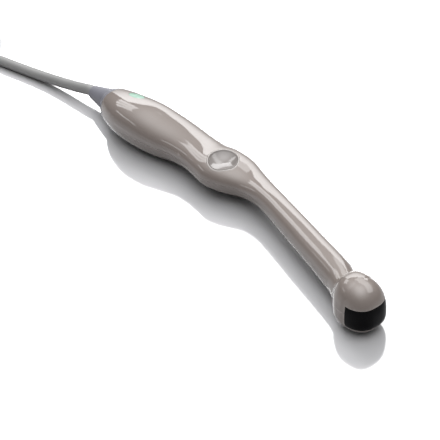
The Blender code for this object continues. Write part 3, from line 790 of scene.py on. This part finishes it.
def bumped(tree, height, strength, distance):
    node = tree.nodes.new("ShaderNodeBump")
    node.inputs["Distance"].default_value = distance
    tree.links.new(height, node.inputs["Height"])
    if isinstance(strength, float):
        node.inputs["Strength"].default_value = strength
    else:
        tree.links.new(strength, node.inputs["Strength"])
    return node.outputs["Normal"]


def moulding_group():
    """Slow drift of colour, fine variation of gloss, and a very shallow grain."""
    group, given, put = new_group(
        "moulded_surface",
        (
            ("Vector", "NodeSocketVector", None),
            ("Base", "NodeSocketColor", (0.5, 0.5, 0.5, 1.0)),
            ("Drift", "NodeSocketColor", (0.5, 0.5, 0.5, 1.0)),
            ("Drift Scale", "NodeSocketFloat", 60.0),
            ("Grain Scale", "NodeSocketFloat", 2500.0),
            ("Smooth", "NodeSocketFloat", 0.1),
            ("Rough", "NodeSocketFloat", 0.2),
            ("Grain", "NodeSocketFloat", 0.1),
        ),
        (("Color", "NodeSocketColor"), ("Roughness", "NodeSocketFloat"), ("Normal", "NodeSocketVector")),
    )
    link = group.links.new
    slow = noise(group, given.outputs["Vector"], given.outputs["Drift Scale"])
    fine = noise(group, given.outputs["Vector"], given.outputs["Grain Scale"], 3.0)
    share = spread(group, slow, 0.3, 0.7, 0.0, 1.0)
    link(blended(group, share, given.outputs["Base"], given.outputs["Drift"]), put.inputs["Color"])
    mixed = group.nodes.new("ShaderNodeMath")
    mixed.operation = "MULTIPLY"
    link(slow, mixed.inputs[0])
    link(fine, mixed.inputs[1])
    rough = spread(
        group, mixed.outputs["Value"], 0.1, 0.4, given.outputs["Smooth"], given.outputs["Rough"]
    )
    link(rough, put.inputs["Roughness"])
    link(bumped(group, fine, given.outputs["Grain"], 0.00004), put.inputs["Normal"])
    return group


def rubbed_group():
    """Where a raised edge has been rubbed: a mask, broken up by a fine noise."""
    group, given, put = new_group(
        "rubbed_edges", (("Vector", "NodeSocketVector", None),), (("Mask", "NodeSocketFloat"),)
    )
    link = group.links.new
    geometry = group.nodes.new("ShaderNodeNewGeometry")
    edge = spread(group, geometry.outputs["Pointiness"], 0.52, 0.6, 0.0, 1.0)
    broken = spread(group, noise(group, given.outputs["Vector"], 900.0, 4.0), 0.35, 0.6, 0.2, 1.0)
    product = group.nodes.new("ShaderNodeMath")
    product.operation = "MULTIPLY"
    link(edge, product.inputs[0])
    link(broken, product.inputs[1])
    link(product.outputs["Value"], put.inputs["Mask"])
    return group


MOULDED = moulding_group()
RUBBED = rubbed_group()


def rgba(color):
    return (*color, 1.0)


def plain_material(name):
    made = bpy.data.materials.new(name)
    made.use_nodes = True
    tree = made.node_tree
    place = tree.nodes.new("ShaderNodeTexCoord").outputs["Object"]
    return made, tree, tree.nodes["Principled BSDF"], place


def moulded(name, base, drift, smooth, rough, grain=0.05, drift_scale=60.0, grain_scale=2500.0,
            worn=None, coat=0.0, metallic=0.0, specular=0.5, stretch=None):
    """A material with the shared moulded surface, and rubbed edges where worn gives their colour."""
    made, tree, shader, place = plain_material(name)
    if stretch:
        mapping = tree.nodes.new("ShaderNodeMapping")
        mapping.inputs["Scale"].default_value = stretch
        tree.links.new(place, mapping.inputs["Vector"])
        place = mapping.outputs["Vector"]
    surface = tree.nodes.new("ShaderNodeGroup")
    surface.node_tree = MOULDED
    tree.links.new(place, surface.inputs["Vector"])
    values = {
        "Base": rgba(base), "Drift": rgba(drift), "Drift Scale": drift_scale, "Grain Scale": grain_scale,
        "Smooth": smooth, "Rough": rough, "Grain": grain,
    }
    for label, value in values.items():
        surface.inputs[label].default_value = value
    color = surface.outputs["Color"]
    if worn:
        edges = tree.nodes.new("ShaderNodeGroup")
        edges.node_tree = RUBBED
        tree.links.new(place, edges.inputs["Vector"])
        color = blended(tree, edges.outputs["Mask"], color, rgba(worn))
    tree.links.new(color, shader.inputs["Base Color"])
    tree.links.new(surface.outputs["Roughness"], shader.inputs["Roughness"])
    tree.links.new(surface.outputs["Normal"], shader.inputs["Normal"])
    shader.inputs["Metallic"].default_value = metallic
    shader.inputs["Specular IOR Level"].default_value = specular
    shader.inputs["Coat Weight"].default_value = coat
    shader.inputs["Coat Roughness"].default_value = 0.03
    return made


def circuit_board():
    """Green solder mask over straight copper tracks, with small round pads."""
    made, tree, shader, place = plain_material("solder_mask")
    link = tree.links.new
    tracks = tree.nodes.new("ShaderNodeTexBrick")
    tracks.inputs["Scale"].default_value = 420.0
    tracks.inputs["Mortar Size"].default_value = 0.09
    tracks.inputs["Color1"].default_value = rgba((0.018, 0.15, 0.06))
    tracks.inputs["Color2"].default_value = rgba((0.02, 0.17, 0.07))
    tracks.inputs["Mortar"].default_value = rgba((0.05, 0.30, 0.12))
    link(place, tracks.inputs["Vector"])
    pads = tree.nodes.new("ShaderNodeTexVoronoi")
    pads.inputs["Scale"].default_value = 520.0
    link(place, pads.inputs["Vector"])
    pad = spread(tree, pads.outputs["Distance"], 0.16, 0.12, 0.0, 1.0)
    link(blended(tree, pad, tracks.outputs["Color"], rgba((0.62, 0.50, 0.22))), shader.inputs["Base Color"])
    link(spread(tree, noise(tree, place, 1800.0), 0.3, 0.7, 0.28, 0.42), shader.inputs["Roughness"])
    link(bumped(tree, tracks.outputs["Fac"], 0.3, 0.00003), shader.inputs["Normal"])
    return made


def woven_strap():
    """Black hook-and-loop tape: two crossed ribs with a fuzz of loops."""
    made, tree, shader, place = plain_material("woven_strap")
    link = tree.links.new
    ribs = []
    for direction in ("X", "Y"):
        wave = tree.nodes.new("ShaderNodeTexWave")
        wave.bands_direction = direction
        wave.inputs["Scale"].default_value = 260.0
        wave.inputs["Distortion"].default_value = 1.2
        link(place, wave.inputs["Vector"])
        ribs.append(wave.outputs["Fac"])
    weave = tree.nodes.new("ShaderNodeMath")
    weave.operation = "MULTIPLY"
    link(ribs[0], weave.inputs[0])
    link(ribs[1], weave.inputs[1])
    fuzz = noise(tree, place, 3200.0, 4.0)
    both = tree.nodes.new("ShaderNodeMath")
    both.operation = "ADD"
    link(weave.outputs["Value"], both.inputs[0])
    link(fuzz, both.inputs[1])
    tone = spread(tree, both.outputs["Value"], 0.4, 1.5, 0.0, 1.0)
    colour = blended(tree, tone, rgba((0.012, 0.012, 0.013)), rgba((0.06, 0.06, 0.062)))
    link(colour, shader.inputs["Base Color"])
    link(spread(tree, fuzz, 0.3, 0.7, 0.75, 0.95), shader.inputs["Roughness"])
    link(bumped(tree, both.outputs["Value"], 0.6, 0.0003), shader.inputs["Normal"])
    shader.inputs["Sheen Weight"].default_value = 0.25
    return made


def lens_glass():
    """Coated optical glass, with faint dust in its gloss."""
    made, tree, shader, place = plain_material("lens_glass")
    tree.links.new(
        blended(tree, noise(tree, place, 500.0), rgba((0.55, 0.62, 0.75)), rgba((0.62, 0.58, 0.72))),
        shader.inputs["Base Color"],
    )
    cloud = noise(tree, place, 2600.0)
    tree.links.new(spread(tree, cloud, 0.4, 0.8, 0.02, 0.07), shader.inputs["Roughness"])
    shader.inputs["Transmission Weight"].default_value = 0.85
    shader.inputs["IOR"].default_value = 1.6
    return made


def status_green():
    """Pale green translucent plastic with a milky middle."""
    made, tree, shader, place = plain_material("status_green")
    link = tree.links.new
    milky = spread(tree, noise(tree, place, 260.0, 3.0), 0.35, 0.65, 0.0, 1.0)
    colour = blended(tree, milky, rgba((0.13, 0.30, 0.21)), rgba((0.24, 0.38, 0.31)))
    link(colour, shader.inputs["Base Color"])
    link(spread(tree, noise(tree, place, 2400.0), 0.3, 0.7, 0.12, 0.22), shader.inputs["Roughness"])
    link(bumped(tree, noise(tree, place, 3000.0), 0.04, 0.00003), shader.inputs["Normal"])
    return made


def finishes():
    return {
        "shell": moulded("pearl_grey_gloss", (0.200, 0.172, 0.157), (0.210, 0.181, 0.166), 0.055, 0.10,
                         0.012, drift_scale=25.0, worn=(0.31, 0.28, 0.26), coat=0.35),
        "button": moulded("button_gloss", (0.20, 0.184, 0.176), (0.212, 0.195, 0.186), 0.08, 0.13, 0.02,
                          drift_scale=80.0, worn=(0.31, 0.29, 0.275), coat=0.3),
        "rim": moulded("rim_gloss", (0.33, 0.305, 0.29), (0.35, 0.325, 0.31), 0.05, 0.1, 0.01, coat=0.5),
        "window": moulded("black_window", (0.0015, 0.0015, 0.0017), (0.0022, 0.0022, 0.0024), 0.05, 0.09,
                          0.006, drift_scale=90.0, specular=0.06),
        "seal": moulded("olive_seal", (0.14, 0.135, 0.11), (0.17, 0.165, 0.14), 0.5, 0.7, 0.3),
        "status": status_green(),
        "boot": moulded("boot_rubber", (0.145, 0.145, 0.170), (0.16, 0.16, 0.186), 0.42, 0.56, 0.25,
                        grain_scale=3200.0, worn=(0.26, 0.26, 0.29)),
        "cable": moulded("cable_jacket", (0.19, 0.19, 0.188), (0.215, 0.215, 0.212), 0.36, 0.5, 0.2,
                         grain_scale=3000.0),
        "plug_moulding": moulded("plug_moulding", (0.22, 0.22, 0.22), (0.25, 0.25, 0.25), 0.42, 0.58, 0.3,
                                 grain_scale=2600.0, worn=(0.31, 0.31, 0.31)),
        "steel": moulded("brushed_steel", (0.58, 0.59, 0.61), (0.66, 0.67, 0.69), 0.2, 0.36, 0.15,
                         metallic=1.0, stretch=(0.08, 1.0, 1.0), worn=(0.8, 0.8, 0.82)),
        "black_plastic": moulded("black_plastic", (0.028, 0.028, 0.032), (0.04, 0.04, 0.045), 0.4, 0.55,
                                 0.25, worn=(0.08, 0.08, 0.085)),
        "tie": woven_strap(),
        "board": circuit_board(),
        "chip": moulded("chip_package", (0.016, 0.016, 0.018), (0.026, 0.026, 0.028), 0.45, 0.6, 0.35,
                        worn=(0.07, 0.07, 0.07)),
        "brass": moulded("gold_brass", (0.72, 0.53, 0.25), (0.78, 0.60, 0.32), 0.2, 0.34, 0.12,
                         metallic=1.0, worn=(0.9, 0.76, 0.5)),
        "alloy": moulded("milled_alloy", (0.62, 0.63, 0.65), (0.70, 0.71, 0.73), 0.28, 0.44, 0.2,
                         metallic=1.0, stretch=(1.0, 0.1, 1.0), worn=(0.82, 0.83, 0.85)),
        "lens": lens_glass(),
        "flex": moulded("amber_film", (0.58, 0.27, 0.05), (0.66, 0.33, 0.08), 0.25, 0.4, 0.1, coat=0.2),
        "light_plastic": moulded("milky_plastic", (0.86, 0.84, 0.72), (0.92, 0.90, 0.80), 0.25, 0.4, 0.08),
    }


def finish_inside(look):
    """Each CAD node that still shows takes the finish of its slot in the record."""
    slots = {s["node"]: s["material_slot"] for s in frame["record"]["subparts"]}
    for name, node in frame["nodes"].items():
        if node.hide_render:
            continue
        node.data.materials.clear()
        node.data.materials.append(look[slots[name]])


# ---------------------------------------------------------------- studio

FLOOR_TONE = (0.31, 0.31, 0.317)


def floor():
    bm = bmesh.new()
    bmesh.ops.create_grid(bm, x_segments=2, y_segments=2, size=4000.0)
    bmesh.ops.translate(bm, vec=(0, 0, -0.05), verts=bm.verts)
    made, tree, shader, place = plain_material("pale_floor")
    link = tree.links.new
    cloud = noise(tree, place, 3.0)
    tone = blended(tree, cloud, rgba(FLOOR_TONE), rgba([1.03 * c for c in FLOOR_TONE]))
    link(tone, shader.inputs["Base Color"])
    link(spread(tree, noise(tree, place, 40.0), 0.3, 0.7, 0.07, 0.09), shader.inputs["Roughness"])
    shader.inputs["Specular IOR Level"].default_value = 0.5
    return finished("floor", bm, made)


def softbox(name, turn, rise, wide, high, strength, low_edge=1.0, only_floor=False):
    """A rectangular light seen from the handpiece in one direction, its angles in degrees.

    Its lower edge can be dimmer than its upper one, by the share in low_edge.
    """
    distance = 1.6
    a, e = math.radians(turn), math.radians(rise)
    away = Vector((math.sin(a) * math.cos(e), -math.cos(a) * math.cos(e), math.sin(e)))
    lamp = bpy.data.lights.new(name, "AREA")
    lamp.shape = "RECTANGLE"
    lamp.size = 2 * distance * math.tan(math.radians(wide) / 2)
    lamp.size_y = 2 * distance * math.tan(math.radians(high) / 2)
    lamp.energy = strength * lamp.size * lamp.size_y * 4.0
    if low_edge < 1.0:
        lamp.use_nodes = True
        tree = lamp.node_tree
        across = tree.nodes.new("ShaderNodeSeparateXYZ")
        place = tree.nodes.new("ShaderNodeNewGeometry")
        tree.links.new(place.outputs["Parametric"], across.inputs["Vector"])
        fade = tree.nodes.new("ShaderNodeMapRange")
        fade.interpolation_type = "SMOOTHSTEP"
        fade.inputs["To Min"].default_value = low_edge
        tree.links.new(across.outputs["Y"], fade.inputs["Value"])
        tree.links.new(fade.outputs["Result"], tree.nodes["Emission"].inputs["Strength"])
    thing = bpy.data.objects.new(name, lamp)
    facing = away.to_track_quat("Z", "Y").to_matrix().to_4x4()
    thing.matrix_world = Matrix.Translation(away * distance) @ facing
    thing.visible_camera = False
    SCENE.collection.objects.link(thing)
    if only_floor:
        receivers = bpy.data.collections.new(f"{name}_receivers")
        receivers.objects.link(bpy.data.objects["floor"])
        thing.light_linking.receiver_collection = receivers


def studio():
    softbox("back_card", -130, 18, 44, 37, 3.4, low_edge=0.06)
    softbox("nose_card", 178, 53, 70, 18, 1.9)
    softbox("window_left", -78, 38, 7, 18, 2.6)
    softbox("window_middle", -88, 38, 7, 18, 2.6)
    softbox("window_right", -98, 38, 7, 18, 2.6)
    softbox("low_strip", -45, 23, 28, 4, 2.2)
    softbox("floor_card", -122, 36, 42, 40, 8.6, only_floor=True)
    world = bpy.data.worlds.new("studio")
    world.use_nodes = True
    tree = world.node_tree
    link = tree.links.new
    direction = tree.nodes.new("ShaderNodeSeparateXYZ")
    link(tree.nodes.new("ShaderNodeTexCoord").outputs["Generated"], direction.inputs["Vector"])
    height = spread(tree, direction.outputs["Z"], 0.0, 1.0, 0.0, 1.0)
    steep = tree.nodes.new("ShaderNodeMath")
    steep.operation = "POWER"
    steep.inputs[1].default_value = 4.0
    link(height, steep.inputs[0])
    dome = spread(tree, steep.outputs["Value"], 0.0, 1.0, 0.04, 4.0)
    seen = tree.nodes.new("ShaderNodeLightPath").outputs["Is Camera Ray"]
    link(spread(tree, seen, 0.0, 1.0, dome, 1.0), tree.nodes["Background"].inputs["Strength"])
    tree.nodes["Background"].inputs["Color"].default_value = rgba((1.0, 1.0, 1.0))
    SCENE.world = world
    SCENE.view_settings.view_transform = "Standard"


# ---------------------------------------------------------------- assembly


def add(piece, body, slot, *nodes):
    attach(piece, body)
    if nodes:
        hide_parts(*nodes)
    return piece


def assemble(look):
    lead, length = cable(look["cable"])
    add(lead, "handpiece", "cable", "cable_run", "cable_hank", "cable_tail")
    band = add(strap(look["tie"]), "handpiece", "tie", "cable_tie")
    grip = add(plug_grip(look["plug_moulding"]), "handpiece", "plug_moulding", "plug_body")
    metal = add(plug_metal(look["steel"]), "handpiece", "steel", "plug_shell")
    fingers = [add(finger, "handpiece", "brass") for finger in plug_contacts(look["brass"])]
    add(shell_top(look["shell"]), "handpiece", "shell", "upper_shell")
    add(shell_bottom(look["shell"]), "handpiece", "shell", "lower_shell")
    add(nose_glass(look["window"]), "handpiece", "window", "nose_window")
    add(thumb_button(look["button"]), "button", "button", "capture_button")
    add(button_rim(look["rim"]), "handpiece", "rim", "button_bezel")
    add(status_lens(look["status"]), "handpiece", "status", "status_window")
    add(cable_boot(look["boot"]), "handpiece", "boot", "strain_relief")


set_camera()
LOOK = finishes()
assemble(LOOK)
finish_inside(LOOK)
floor()
studio()
